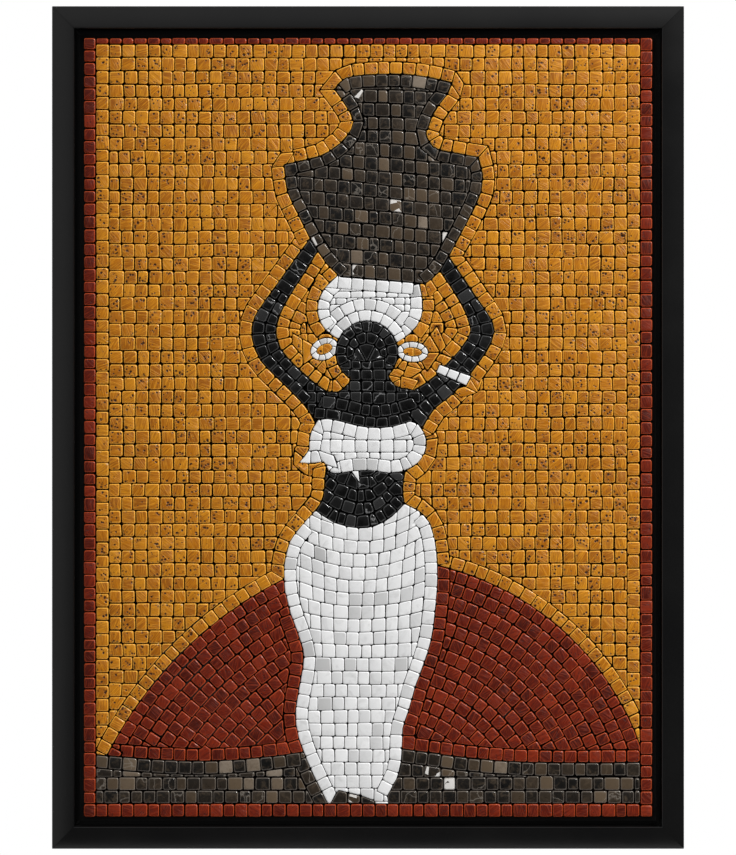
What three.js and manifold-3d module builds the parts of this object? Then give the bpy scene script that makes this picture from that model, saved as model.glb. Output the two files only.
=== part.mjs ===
// A framed stone mosaic: a water carrier with a jar, in cut natural stone on a black board.
//
// Four mitred rails with an L-shaped section make a floating frame. The board lies on the rails' ledge with
// an open gap all round, and the stones are glued to the board. Stones of one colour that lie together are
// one solid here. The joints round each colour are open down to the board, and the joints between the
// courses of stones are cut as grooves.
import * as THREE from "three";
import { mergeVertices } from "three/addons/utils/BufferGeometryUtils.js";
import Module from "manifold-3d";

const wasm = await Module();
wasm.setup();

// ---- Driving dimensions, in millimetres ----
// X runs to the viewer's right, Z runs up, and Y runs back to the wall at Y = 0.
const FRAME_WIDTH = 510;
const FRAME_HEIGHT = 680;
const FRAME_DEPTH = 35; // wall to the rails' inner lip, the frame's highest line
const RAIL_WIDTH = 18; // a rail's front face
const RAIL_FALL = 2.5; // how far the front face leans back towards its outer edge
const RAIL_EDGE = 0.8; // small flat on each long front edge
const LEDGE_REACH = 42; // outside of the frame to the inner edge of the ledge
const LEDGE_THICKNESS = 10;
const MITRE_GAP = 0.15; // from each rail's end to the mitre line

const MOSAIC_WIDTH = 460;
const MOSAIC_HEIGHT = 630;
const BOARD_MARGIN = 3.5; // black edge of the board round the stones
const BOARD_THICKNESS = 9;
const STONE_THICKNESS = 9;

const JOINT = 0.8; // gap between neighbouring stones
const GROOVE_DEPTH = 2; // open depth of the joint between two courses
const COURSE = 10.7; // one course of stones with its joint
const BORDER = 10; // the single course of red stones round the picture
const BORDER_TOP = 5.3; // that course is cut thinner along the top

// Levels above the wall.
const BOARD_BACK = LEDGE_THICKNESS;
const STONE_BACK = BOARD_BACK + BOARD_THICKNESS;
const STONE_FRONT = STONE_BACK + STONE_THICKNESS;

// The origin is the middle of the top rail's back face, where the frame hangs.
const HANG_POINT = FRAME_HEIGHT / 2 - LEDGE_REACH / 2;

// ---- Materials ----
const finish = (color, roughness) => new THREE.MeshStandardMaterial({ color, roughness, metalness: 0 });
const BLACK_LACQUER = finish("#262626", 0.5);
const BLACK_BOARD = finish("#151515", 0.8);
const RED_STONE = finish("#5e2114", 0.55);
const OCHRE_STONE = finish("#b5781f", 0.55);
const BROWN_STONE = finish("#36312c", 0.5);
const BLACK_STONE = finish("#1a1a1b", 0.45);
const WHITE_STONE = finish("#dcdcdb", 0.5);

// ---- Outlines: closed lists of points in the plane of the picture, centred on the mosaic ----
const STEPS = 2; // straight pieces between two points of a curve

const points = (pairs) => pairs.map(([x, z]) => new THREE.Vector2(x, z));
const curve = (...pairs) => new THREE.SplineCurve(points(pairs)).getPoints(STEPS * (pairs.length - 1));
const line = (...pairs) => points(pairs);

function arc(centre, radius, fromDeg, toDeg, steps) {
  const [from, to] = [fromDeg, toDeg].map(THREE.MathUtils.degToRad);
  return new THREE.EllipseCurve(...centre, radius, radius, from, to, to < from).getPoints(steps);
}

function ellipse(centre, halfWidth, halfHeight, tiltDeg) {
  const tilt = THREE.MathUtils.degToRad(tiltDeg);
  const whole = new THREE.EllipseCurve(...centre, halfWidth, halfHeight, 0, 2 * Math.PI, false, tilt);
  return whole.getPoints(20).slice(0, -1);
}

// Joins runs of points into one closed outline that goes round anticlockwise.
function outline(...runs) {
  const all = runs.flat();
  const kept = all.filter((point, i) => point.distanceTo(all.at(i - 1)) > 0.01);
  return THREE.ShapeUtils.isClockWise(kept) ? kept.reverse() : kept;
}

// Moves an outline outwards by a distance, or inwards if it is negative.
function grow(closed, distance) {
  return closed.map((point, i) => {
    const before = point.clone().sub(closed.at(i - 1)).normalize();
    const after = closed[(i + 1) % closed.length].clone().sub(point).normalize();
    const along = before.clone().add(after).normalize();
    const stretch = Math.max(along.dot(after), 0.5);
    return point.clone().addScaledVector(new THREE.Vector2(along.y, -along.x), distance / stretch);
  });
}

// A closed strip along an open line, with its own width at each point.
function strip(open, widthAt) {
  const side = (sign) =>
    open.map((point, i) => {
      const along = open[Math.min(i + 1, open.length - 1)].clone().sub(open[Math.max(i - 1, 0)]).normalize();
      return point.clone().addScaledVector(new THREE.Vector2(along.y, -along.x), (sign * widthAt(i)) / 2);
    });
  return outline(side(1), side(-1).reverse());
}

// A limb along a smooth line, given as [x, z, width] from the body outwards.
function limb(...joints) {
  const along = new THREE.CatmullRomCurve3(joints.map((joint) => new THREE.Vector3(...joint)), false, "centripetal");
  const middle = along.getPoints(STEPS * (joints.length - 1));
  return strip(middle.map(({ x, y }) => new THREE.Vector2(x, y)), (i) => middle[i].z);
}

// ---- Solids ----
const INTO_ROOM = new THREE.Matrix4().makeBasis(
  new THREE.Vector3(1, 0, 0),
  new THREE.Vector3(0, 0, 1),
  new THREE.Vector3(0, -1, 0),
);

// An outline, with holes, made solid between two levels above the wall.
function slab([outer, ...holes], back, front) {
  const shape = new THREE.Shape(outer);
  shape.holes = holes.map((hole) => new THREE.Path(hole));
  const geometry = new THREE.ExtrudeGeometry(shape, { depth: front - back, bevelEnabled: false });
  return geometry.applyMatrix4(INTO_ROOM).translate(0, -back, 0);
}

function solidOf(geometry) {
  const bare = new THREE.BufferGeometry().setAttribute("position", geometry.getAttribute("position"));
  if (geometry.index) bare.setIndex(geometry.index);
  const merged = mergeVertices(bare, 1e-4);
  const vertProperties = merged.attributes.position.array;
  const triVerts = new Uint32Array(merged.index.array);
  return new wasm.Manifold(new wasm.Mesh({ numProp: 3, vertProperties, triVerts }));
}

function geometryOf(solid) {
  const { vertProperties, triVerts } = solid.getMesh();
  const geometry = new THREE.BufferGeometry();
  geometry.setAttribute("position", new THREE.BufferAttribute(vertProperties, 3));
  geometry.setIndex(new THREE.BufferAttribute(triVerts, 1));
  geometry.computeVertexNormals();
  return geometry;
}

const fuse = (solids) => solids.reduce((whole, solid) => whole.add(solid));

// Several shapes, each an outer outline with its holes, grown by a distance and fused between two levels.
function fused(shapes, distance, back, front) {
  const grown = (loops) => loops.map((loop, i) => grow(loop, i ? -distance : distance));
  return fuse(shapes.map((loops) => solidOf(slab(grown(loops), back, front))));
}

// ---- Frame ----
const RAIL_SECTION = outline(
  line([0, 0], [LEDGE_REACH, 0], [LEDGE_REACH, LEDGE_THICKNESS], [RAIL_WIDTH, LEDGE_THICKNESS]),
  line([RAIL_WIDTH, FRAME_DEPTH - RAIL_EDGE], [RAIL_WIDTH - RAIL_EDGE, FRAME_DEPTH]),
  line([RAIL_EDGE, FRAME_DEPTH - RAIL_FALL], [0, FRAME_DEPTH - RAIL_FALL - RAIL_EDGE]),
);

// A rail along X with its outer side facing down, its ends mitred by moving each point in by its own
// distance from the outer side.
function rail(name, length, centreToOutside, turns) {
  const geometry = new THREE.ExtrudeGeometry(new THREE.Shape(RAIL_SECTION), { depth: 1, bevelEnabled: false });
  const position = geometry.getAttribute("position");
  for (let i = 0; i < position.count; i++) {
    const [inwards, height, end] = [position.getX(i), position.getY(i), position.getZ(i)];
    const along = length / 2 - inwards - MITRE_GAP;
    position.setXYZ(i, end ? along : -along, -height, inwards - centreToOutside);
  }
  geometry.computeVertexNormals();
  const mesh = new THREE.Mesh(geometry, BLACK_LACQUER);
  mesh.name = name;
  mesh.rotation.y = (turns * Math.PI) / 2;
  return mesh;
}

function frame() {
  const group = new THREE.Group();
  group.add(rail("frame_rail_bottom", FRAME_WIDTH, FRAME_HEIGHT / 2, 0));
  group.add(rail("frame_rail_left", FRAME_HEIGHT, FRAME_WIDTH / 2, 1));
  group.add(rail("frame_rail_top", FRAME_WIDTH, FRAME_HEIGHT / 2, 2));
  group.add(rail("frame_rail_right", FRAME_HEIGHT, FRAME_WIDTH / 2, 3));
  return group;
}

function board() {
  const [width, height] = [MOSAIC_WIDTH, MOSAIC_HEIGHT].map((size) => size + 2 * BOARD_MARGIN);
  const mesh = new THREE.Mesh(new THREE.BoxGeometry(width, BOARD_THICKNESS, height), BLACK_BOARD);
  mesh.name = "backing_board";
  mesh.position.y = -BOARD_BACK - BOARD_THICKNESS / 2;
  return mesh;
}

// ---- The picture's colours ----
// Each colour area lists its solids' names from left to right, its shapes and its course lines. A shape
// may run on under the areas listed before it, which cut it back.
const RIGHT = MOSAIC_WIDTH / 2;
const TOP = MOSAIC_HEIGHT / 2;
const INNER_RIGHT = RIGHT - BORDER;
const INNER_TOP = TOP - BORDER_TOP;
const INNER_BOTTOM = BORDER + 1 - TOP;
const UNDER = 4; // how far the picture runs on under the border

const box = (left, bottom, right, top) =>
  outline(line([left, bottom], [right, bottom], [right, top], [left, top]));

// Lines across the picture, one course apart, from one level down or up to another.
function levels(from, to, slopeAt = () => 0) {
  const lines = [];
  const step = to < from ? -COURSE : COURSE;
  for (let z = from + step; (to - z) * step > 0; z += step) {
    const rise = slopeAt(z) * RIGHT;
    lines.push(line([-RIGHT, z - rise], [RIGHT, z + rise]));
  }
  return lines;
}

// The border: columns over the full height, and rows between them.
const border = [
  { names: ["border_column_left"], shapes: [[box(-RIGHT, -TOP, -INNER_RIGHT, TOP)]] },
  { names: ["border_column_right"], shapes: [[box(INNER_RIGHT, -TOP, RIGHT, TOP)]] },
  { names: ["border_row_top"], shapes: [[box(-INNER_RIGHT, INNER_TOP, INNER_RIGHT, TOP)]] },
  { names: ["border_row_bottom"], shapes: [[box(-INNER_RIGHT, -TOP, INNER_RIGHT, INNER_BOTTOM)]] },
];

// The jar: a flared rim, a waisted neck, flat shoulders and a belly that runs in to a narrow base.
const JAR_AXIS = 12;
const JAR_BASE = 118.5;
const jar = {
  names: ["jar"],
  shapes: [
    [
      outline(
        curve([-27, 273], [-18, 282.5], [6, 285.3], [34, 285], [54, 282], [68, 278.5]),
        curve([64, 269], [58, 262], [52.5, 254], [49.5, 246], [47, 238], [50, 230], [58, 224], [89, 218.5]),
        curve([92.5, 205], [91, 190], [82, 170], [70, 147.5], [58, 126.5], [46, 116]),
        curve([-22, 121.5], [-34, 133], [-46, 151], [-57, 173.5], [-65, 190], [-68, 212.5]),
        curve([-50, 216.3], [-38, 219.5], [-27, 226], [-17, 235.5], [-12, 247], [-17, 259], [-27, 273]),
      ),
    ],
  ],
  courses: levels(JAR_BASE, 276, (z) => -0.07 * Math.max(0, 1 - (z - JAR_BASE) / 90)).map((across) =>
    across.map((point) => point.setX(point.x + JAR_AXIS)),
  ),
};

// The head scarf, tied high behind the head.
const headScarf = {
  names: ["head_scarf"],
  shapes: [
    [
      outline(
        curve([-24, 123], [-33.5, 114.5], [-39, 106], [-41, 97], [-39.5, 87], [-34, 78.5], [-27, 73]),
        line([0, 60]),
        curve([25, 69.5], [32, 74.5], [39, 81.5], [43, 90], [44, 99], [43.3, 108], [41, 118]),
      ),
    ],
  ],
  courses: [
    curve([-60, 115], [0, 109], [60, 103]),
    curve([-44, 87], [-22, 91], [0, 95.5], [24, 90], [46, 82]),
  ],
};

// Head, shoulders and both raised arms: a plain figure with no face, seen against the light. The armlet
// parts the right forearm from the rest.
const HEAD = { centre: [-1, 60.8], width: 50.6, height: 51 };
const body = {
  names: ["head_shoulders_and_left_arm", "right_forearm"],
  shapes: [
    [ellipse(HEAD.centre, HEAD.width / 2, HEAD.height / 2, 0)],
    [
      outline(
        line([-39, -6], [39, -6]),
        curve([41, 4], [43, 20], [35, 30.5], [26, 31.8], [19.5, 36.3], [16, 42.5], [13.5, 50]),
        curve([-13.5, 50], [-13.8, 40], [-18, 33], [-25, 28.4], [-34, 28.5], [-44, 18], [-40, 4]),
      ),
    ],
    [limb([-32, 12, 28], [-41, 21.5, 21], [-52, 31.5, 17.5], [-65, 44, 17], [-79, 59, 18.5], [-84, 74, 20],
      [-83, 86, 19], [-75, 101, 15], [-63.5, 118.5, 13.3], [-54, 132.5, 12.3], [-43, 149, 11])],
    [limb([33, 10, 30], [46.5, 23.3, 21.5], [57, 30.5, 20], [67.5, 40.5, 20], [78.5, 53.5, 18.5],
      [88.5, 67, 18], [92.5, 78, 19.3], [89.5, 88, 17], [81.7, 101.8, 13], [74, 114, 12.7], [55, 142, 12])],
  ],
  courses: [curve([-44, 15], [-20, 14], [6, 11], [26, 13], [44, 17]), curve([-30, 25], [0, 21.5], [30, 25])],
};

const armlet = {
  names: ["armlet"],
  shapes: [[outline(line([55, 44.6], [79.5, 33.5], [83.5, 41.5], [57.8, 50.8]))]],
};

// Hoop earrings, one course of small stones each.
const earring = (name, centre, halfWidth, halfHeight, tilt) => ({
  names: [name],
  shapes: [
    [
      ellipse(centre, halfWidth, halfHeight, tilt),
      ellipse(centre, halfWidth - EARRING_WIDTH, halfHeight - EARRING_WIDTH, tilt),
    ],
  ],
});
const EARRING_WIDTH = 4.9;
const earrings = [
  earring("earring_left", [-35.4, 63.3], 11.6, 8.7, 24),
  earring("earring_right", [36, 61], 12.6, 8.4, -4),
];

// A strip of white cloth round the chest, knotted at the left.
const bandeau = {
  names: ["bandeau"],
  shapes: [
    [
      outline(
        curve([-40.5, 6], [-33, 7], [-22, 5], [-8, 1.2], [8, -0.6], [22, 1], [34, 5]),
        curve([40.5, 2.5], [45.5, -5], [47, -14], [44, -24], [36.5, -31.5], [26, -36], [16, -36.8]),
        curve([2, -34.6], [-12, -35], [-24, -37.2], [-31.5, -36], [-33.5, -31]),
        curve([-36, -27.5], [-43, -29.3], [-56, -28.6]),
        curve([-50.5, -22.5], [-47.5, -17], [-47.6, -9], [-45, -1], [-40.5, 6]),
      ),
    ],
  ],
  courses: [
    curve([-60, -6], [-30, -5], [0, -9.5], [30, -7], [60, -4]),
    curve([-60, -24.5], [-30, -24], [0, -25.5], [30, -24], [60, -22]),
  ],
};

// The loose end of that cloth, hanging under it at the back.
const clothEnd = {
  names: ["cloth_end"],
  shapes: [[outline(line([-14.5, -34.5], [-6.6, -45], [-7.5, -34.3]))]],
};

const WAIST = curve([-42.3, -67], [-29, -76.5], [-9.5, -81.5], [6, -79.5], [19.5, -71.8], [29.2, -61.6]);
const lowered = (open, drop) => open.map((point) => point.clone().setY(point.y - drop));

const midriff = {
  names: ["midriff"],
  shapes: [
    [
      outline(
        curve([-33, -26], [-35, -40], [-35.3, -51], [-37.5, -60], [-44, -69]),
        line([-8, -90], [31, -64]),
        curve([29, -60], [27.8, -50], [29, -40], [32, -28]),
      ),
    ],
  ],
  courses: [lowered(WAIST, -COURSE), lowered(WAIST, -2 * COURSE), lowered(WAIST, -3 * COURSE)],
};

// The long skirt: wide at the hip, drawn in at the knee, with a pointed hem.
const SKIRT_AXIS = -6;
const SKIRT_WIDE = 80; // half the length of a course line, past the skirt on both sides
const KNEE = -200;

// The courses hang in bows that flatten from the waist down to the knee.
function skirtCourse(z) {
  const bow = Math.max(0, (z - KNEE) / (WAIST[0].y - KNEE)) * 24;
  const middle = new THREE.Vector2(SKIRT_AXIS, z);
  const [left, right] = [-1, 1].map((side) => new THREE.Vector2(SKIRT_AXIS + side * SKIRT_WIDE, z + 2 * bow));
  const handle = new THREE.Vector2(SKIRT_AXIS, 2 * middle.y - (left.y + right.y) / 2);
  return new THREE.QuadraticBezierCurve(left, handle, right).getPoints(6);
}

const SKIRT_FIRST = -92;
const SKIRT_COURSES = 20;
const skirt = {
  names: ["skirt"],
  shapes: [
    [
      outline(
        WAIST,
        curve([38.5, -66], [50, -77], [55.4, -102], [55.8, -128], [53.6, -152], [50, -176], [37.5, -211]),
        curve([33.5, -227], [28, -243], [27, -268], [23, -284], [15.5, -298], [18, -306]),
        line([7, -306], [5, -301.5]),
        curve([-7, -297], [-24.5, -293]),
        line([-31.5, -306]),
        curve([-45, -279], [-56, -251], [-58.5, -228], [-53, -197], [-52.5, -179], [-62.5, -151]),
        curve([-67, -133], [-68, -113], [-63, -92], [-52, -77.5], [-42.3, -67]),
      ),
    ],
  ],
  courses: Array.from({ length: SKIRT_COURSES }, (_, i) => skirtCourse(SKIRT_FIRST - i * COURSE)),
};

// Dark ground along the foot of the picture, with a rolling upper edge.
const GROUND_LINE = curve(
  [-RIGHT, -263.5],
  [-185, -267.5],
  [-140, -269.8],
  [-95, -267.8],
  [-55, -262.8],
  [-12, -258.5],
  [30, -260],
  [75, -266.5],
  [125, -270.5],
  [180, -271],
  [RIGHT, -270.5],
);
const ground = {
  names: ["ground_left", "ground_under_hem", "ground_right"],
  shapes: [[outline(GROUND_LINE, line([RIGHT, -TOP + UNDER], [-RIGHT, -TOP + UNDER]))]],
  courses: [...levels(INNER_BOTTOM, INNER_BOTTOM + 2.5 * COURSE), lowered(GROUND_LINE, COURSE)],
};

// The red hill behind the figure. Each flank is an arc, and its courses follow that arc.
const FLANK_LEFT = { centre: [77, -411], radius: 323, from: 156, to: 104.5 };
const FLANK_RIGHT = { centre: [6, -333], radius: 227, from: 93, to: 12 };
const flank = ({ centre, radius, from, to }, inset, steps) => arc(centre, radius - inset, from, to, steps);
const hillCourses = (side) =>
  Array.from({ length: 13 }, (_, i) => flank(side, (i + 1) * COURSE, 9)).map((bow) =>
    bow.filter((point) => Math.sign(point.x - SKIRT_AXIS) === Math.sign(bow.at(0).x - SKIRT_AXIS || 1)),
  );
const hill = {
  names: ["hill_left", "hill_right"],
  shapes: [[outline(flank(FLANK_LEFT, 0, 24), flank(FLANK_RIGHT, 0, 28))]],
  courses: [...hillCourses(FLANK_LEFT), ...hillCourses(FLANK_RIGHT)],
};

// The ochre ground colour behind everything.
const field = {
  names: ["field_between_left_arm_and_head", "field_in_left_earring", "field", "field_in_right_earring",
    "field_between_right_arm_and_head"],
  shapes: [[box(-INNER_RIGHT - UNDER, INNER_BOTTOM - UNDER, INNER_RIGHT + UNDER, INNER_TOP + UNDER)]],
  courses: levels(INNER_TOP, INNER_BOTTOM),
};

// From the top down: each area cuts back those after it.
const PICTURE = [
  [RED_STONE, border],
  [BROWN_STONE, [jar]],
  [WHITE_STONE, [armlet, bandeau, clothEnd, skirt]],
  [BLACK_STONE, [body, midriff]],
  [WHITE_STONE, [headScarf, ...earrings]],
  [BROWN_STONE, [ground]],
  [RED_STONE, [hill]],
  [OCHRE_STONE, [field]],
];

const acrossCentre = (solid) => {
  const { min, max } = solid.boundingBox();
  return min[0] + max[0];
};

function mosaic() {
  const group = new THREE.Group();
  let above = null;
  for (const [material, areas] of PICTURE) {
    for (const { names, shapes, courses } of areas) {
      let stones = fused(shapes, -JOINT / 2, STONE_BACK, STONE_FRONT);
      if (above) stones = stones.subtract(above);
      if (courses) {
        const strips = courses.map((open) => slab([strip(open, () => JOINT)], STONE_FRONT - GROOVE_DEPTH, STONE_FRONT + 1));
        stones = stones.subtract(fuse(strips.map(solidOf)));
      }
      const bodies = stones.decompose().sort((a, b) => acrossCentre(a) - acrossCentre(b));
      bodies.forEach((part, i) => {
        const mesh = new THREE.Mesh(geometryOf(part), material);
        mesh.name = names[i];
        group.add(mesh);
      });
      const cutter = fused(shapes, JOINT / 2, STONE_BACK - 1, STONE_FRONT + 1);
      above = above ? above.add(cutter) : cutter;
    }
  }
  return group;
}

const panel = new THREE.Group();
panel.add(frame(), board(), mosaic());
panel.position.z = -HANG_POINT;

export default panel;
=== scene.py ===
import math
import random

import bpy
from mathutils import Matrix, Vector, noise
from mathutils.geometry import delaunay_2d_cdt


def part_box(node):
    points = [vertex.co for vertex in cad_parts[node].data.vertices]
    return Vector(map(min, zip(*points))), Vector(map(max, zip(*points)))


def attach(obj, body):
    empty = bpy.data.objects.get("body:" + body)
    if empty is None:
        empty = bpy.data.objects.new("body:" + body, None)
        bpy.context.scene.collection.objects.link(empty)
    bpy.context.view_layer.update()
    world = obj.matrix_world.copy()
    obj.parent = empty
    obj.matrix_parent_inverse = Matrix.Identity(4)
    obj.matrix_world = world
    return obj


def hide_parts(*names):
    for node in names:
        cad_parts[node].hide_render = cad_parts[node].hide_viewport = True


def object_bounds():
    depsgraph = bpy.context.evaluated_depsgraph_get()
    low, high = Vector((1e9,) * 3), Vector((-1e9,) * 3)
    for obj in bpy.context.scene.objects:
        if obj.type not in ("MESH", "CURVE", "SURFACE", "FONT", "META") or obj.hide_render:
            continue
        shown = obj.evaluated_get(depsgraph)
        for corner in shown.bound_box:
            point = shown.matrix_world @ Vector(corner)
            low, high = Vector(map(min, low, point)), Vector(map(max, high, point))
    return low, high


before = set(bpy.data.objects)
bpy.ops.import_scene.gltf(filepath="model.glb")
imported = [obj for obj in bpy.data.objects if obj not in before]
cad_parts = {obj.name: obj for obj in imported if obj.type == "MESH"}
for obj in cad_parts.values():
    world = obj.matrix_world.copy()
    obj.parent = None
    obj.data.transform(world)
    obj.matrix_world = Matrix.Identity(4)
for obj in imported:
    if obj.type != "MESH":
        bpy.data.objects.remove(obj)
cad_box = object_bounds()


# ---- The studio ----
# The panel hangs upright before a white ground. A softbox stands high on its right, a pale wall fills from
# the upper left, and the camera looks square at its middle through a long lens.
VIEW_DISTANCE = 3.2
VIEW_PLANE = 0.03  # before the panel's back, where the height of the view is measured
VIEW_HEIGHT = 0.6904
SENSOR = 36.0
ROOM_DARK, ROOM_PALE = 0.07, 0.5  # the room's light below and on the right, and on the upper left

SMOOTH = {"interpolation_type": "SMOOTHSTEP"}
WHITE = (1.0, 1.0, 1.0, 1.0)
KEY_PLACE, KEY_SIZE, KEY_POWER = Vector((1.78, -1.86, 1.8)), 0.5, 124.0
FLOOR_DROP = 0.4  # from the panel's foot to the floor
FLOOR_HALF = 0.8
FLOOR_BACK = 0.2  # how far its middle lies behind the panel's back


def add(tree, kind, settings=None, **sockets):
    """Adds a node, sets its properties, and sets or links its inputs by name (spaces as underscores)."""
    node = tree.nodes.new(kind)
    for key, value in (settings or {}).items():
        setattr(node, key, value)
    for key, value in sockets.items():
        if key.startswith("in") and key[2:].isdigit():
            socket = node.inputs[int(key[2:])]
        else:
            socket = next(s for s in node.inputs if s.name == key.replace("_", " ") and s.enabled)
        if isinstance(value, bpy.types.NodeSocket):
            tree.links.new(value, socket)
        else:
            socket.default_value = value
    return node


def cloudy(tree, where, scale, detail, **more):
    """The grey of a cloud texture."""
    return add(tree, "ShaderNodeTexNoise", Vector=where, Scale=scale, Detail=detail, **more).outputs["Fac"]


def ranged(tree, value, low_in, high_in, low_out=0.0, high_out=1.0, **settings):
    ends = {"From_Min": low_in, "From_Max": high_in, "To_Min": low_out, "To_Max": high_out}
    return add(tree, "ShaderNodeMapRange", settings, Value=value, **ends).outputs["Result"]


def maths(tree, operation, first, second=0.0, third=0.0):
    return add(tree, "ShaderNodeMath", {"operation": operation}, in0=first, in1=second, in2=third).outputs[0]


def times(tree, first, second):
    return maths(tree, "MULTIPLY", first, second)


def vectors(tree, operation, first, second, **third):
    node = add(tree, "ShaderNodeVectorMath", {"operation": operation}, in0=first, in1=second, **third)
    return node.outputs["Value" if operation == "DOT_PRODUCT" else "Vector"]


scene = bpy.context.scene
scene.view_settings.view_transform = "Standard"
low, high = cad_box
middle = Vector(((low[0] + high[0]) / 2, 0.0, (low[2] + high[2]) / 2))

camera_data = bpy.data.cameras.new("camera")
camera_data.sensor_width = SENSOR
camera_data.lens = SENSOR * (VIEW_DISTANCE - VIEW_PLANE) / VIEW_HEIGHT
camera_data.dof.use_dof = False
camera = bpy.data.objects.new("camera", camera_data)
camera.location = middle + Vector((0.0, -VIEW_DISTANCE, 0.0))
camera.rotation_euler = (math.pi / 2, 0.0, 0.0)
scene.collection.objects.link(camera)
scene.camera = camera

box = bpy.data.lights.new("key", "AREA")
box.shape = "RECTANGLE"
box.size = box.size_y = KEY_SIZE
box.energy = KEY_POWER
key = bpy.data.objects.new("key", box)
key.location = middle + KEY_PLACE
key.rotation_euler = (middle - key.location).to_track_quat("-Z", "Y").to_euler()
scene.collection.objects.link(key)

world = bpy.data.worlds.new("white_ground")
scene.world = world
world.use_nodes = True
air = world.node_tree
air.nodes.clear()
facing = add(air, "ShaderNodeTexCoord").outputs["Generated"]
toward = vectors(air, "DOT_PRODUCT", facing, (-0.7071, 0.0, 0.7071))
room = add(air, "ShaderNodeBackground", Color=WHITE)
air.links.new(ranged(air, toward, 0.06, 0.36, ROOM_DARK, ROOM_PALE, **SMOOTH), room.inputs["Strength"])
seen = add(air, "ShaderNodeBackground", Color=WHITE, Strength=1.0)
ray = add(air, "ShaderNodeLightPath").outputs["Is Camera Ray"]
choose = add(air, "ShaderNodeMixShader", in0=ray, in1=room.outputs[0], in2=seen.outputs[0])
add(air, "ShaderNodeOutputWorld", Surface=choose.outputs[0])

floor_z = low[2] - FLOOR_DROP
floor_mesh = bpy.data.meshes.new("floor")
floor_mesh.from_pydata(
    [(x * FLOOR_HALF, y * FLOOR_HALF + FLOOR_BACK, floor_z) for x, y in ((-1, -1), (1, -1), (1, 1), (-1, 1))],
    [],
    [(0, 1, 2, 3)],
)
floor = bpy.data.objects.new("floor", floor_mesh)
scene.collection.objects.link(floor)
floor_paint = bpy.data.materials.new("pale_floor")
floor_paint.use_nodes = True
floor_paint.node_tree.nodes["Principled BSDF"].inputs["Base Color"].default_value = (0.85, 0.85, 0.85, 1.0)
floor_paint.node_tree.nodes["Principled BSDF"].inputs["Roughness"].default_value = 0.9
floor_mesh.materials.append(floor_paint)


# ---- Frame rails ----
# Four lengths of black lacquered wood with an L-shaped section, mitred at the corners. Each front face
# leans back a little to its outer edge, and every long edge is eased by hand before lacquering.
FRAME_SIZE = {"x": high[0] - low[0], "z": high[2] - low[2]}
FRAME_DEPTH = 0.035
RAIL_WIDTH = 0.018
RAIL_FALL = 0.0025
LEDGE_REACH = 0.042
LEDGE_THICKNESS = 0.010
MITRE_GAP = 0.00012
EASE = 0.0009  # radius of the eased edges
EASE_STEPS = 4


def mix_colour(tree, amount, first, second):
    node = tree.nodes.new("ShaderNodeMix")
    node.data_type = "RGBA"
    for socket, value in ((node.inputs[0], amount), (node.inputs[6], first), (node.inputs[7], second)):
        if isinstance(value, bpy.types.NodeSocket):
            tree.links.new(value, socket)
        else:
            socket.default_value = value
    return node.outputs[2]


def blank_material(name):
    """A material with a Principled shader, ready for its finish."""
    material = bpy.data.materials.new(name)
    material.use_nodes = True
    return material, material.node_tree, material.node_tree.nodes["Principled BSDF"]


def eased_section(corners, radius, steps):
    """Rounds the corners of a closed section. Each corner is (in, out, eased)."""
    rounded = []
    for i, (u, v, eased) in enumerate(corners):
        here = Vector((u, v))
        if not eased:
            rounded.append(here)
            continue
        before = (Vector(corners[i - 1][:2]) - here).normalized()
        after = (Vector(corners[(i + 1) % len(corners)][:2]) - here).normalized()
        half = before.angle(after) / 2
        centre = here + (before + after).normalized() * radius / math.sin(half)
        start = here + before * radius / math.tan(half) - centre
        end = here + after * radius / math.tan(half) - centre
        for k in range(steps + 1):
            rounded.append(centre + start.slerp(end, k / steps) * radius)
    return rounded


RAIL_SECTION = eased_section(
    [
        (0.0, 0.0, True),
        (LEDGE_REACH, 0.0, True),
        (LEDGE_REACH, LEDGE_THICKNESS, True),
        (RAIL_WIDTH, LEDGE_THICKNESS, False),
        (RAIL_WIDTH, FRAME_DEPTH, True),
        (0.0, FRAME_DEPTH - RAIL_FALL, True),
    ],
    EASE,
    EASE_STEPS,
)

# A little mist in the sprayed lacquer, and fine dust in its grain.
lacquer, tree, shader = blank_material("black_lacquer")
place = add(tree, "ShaderNodeTexCoord").outputs["Object"]
grain = cloudy(tree, place, 900.0, 3.0, Roughness=0.6)
cloud = cloudy(tree, place, 14.0, 4.0, Roughness=0.55)
dull = ranged(tree, cloud, 0.3, 0.7, 0.19, 0.24)
tint = ranged(tree, cloud, 0.3, 0.7)
colour = mix_colour(tree, tint, (0.0032, 0.0032, 0.0033, 1), (0.0042, 0.0041, 0.0040, 1))
bump = add(tree, "ShaderNodeBump", Strength=0.12, Distance=0.0002, Height=grain)
tree.links.new(colour, shader.inputs["Base Color"])
tree.links.new(dull, shader.inputs["Roughness"])
tree.links.new(bump.outputs["Normal"], shader.inputs["Normal"])
shader.inputs["Specular IOR Level"].default_value = 0.42

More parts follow.
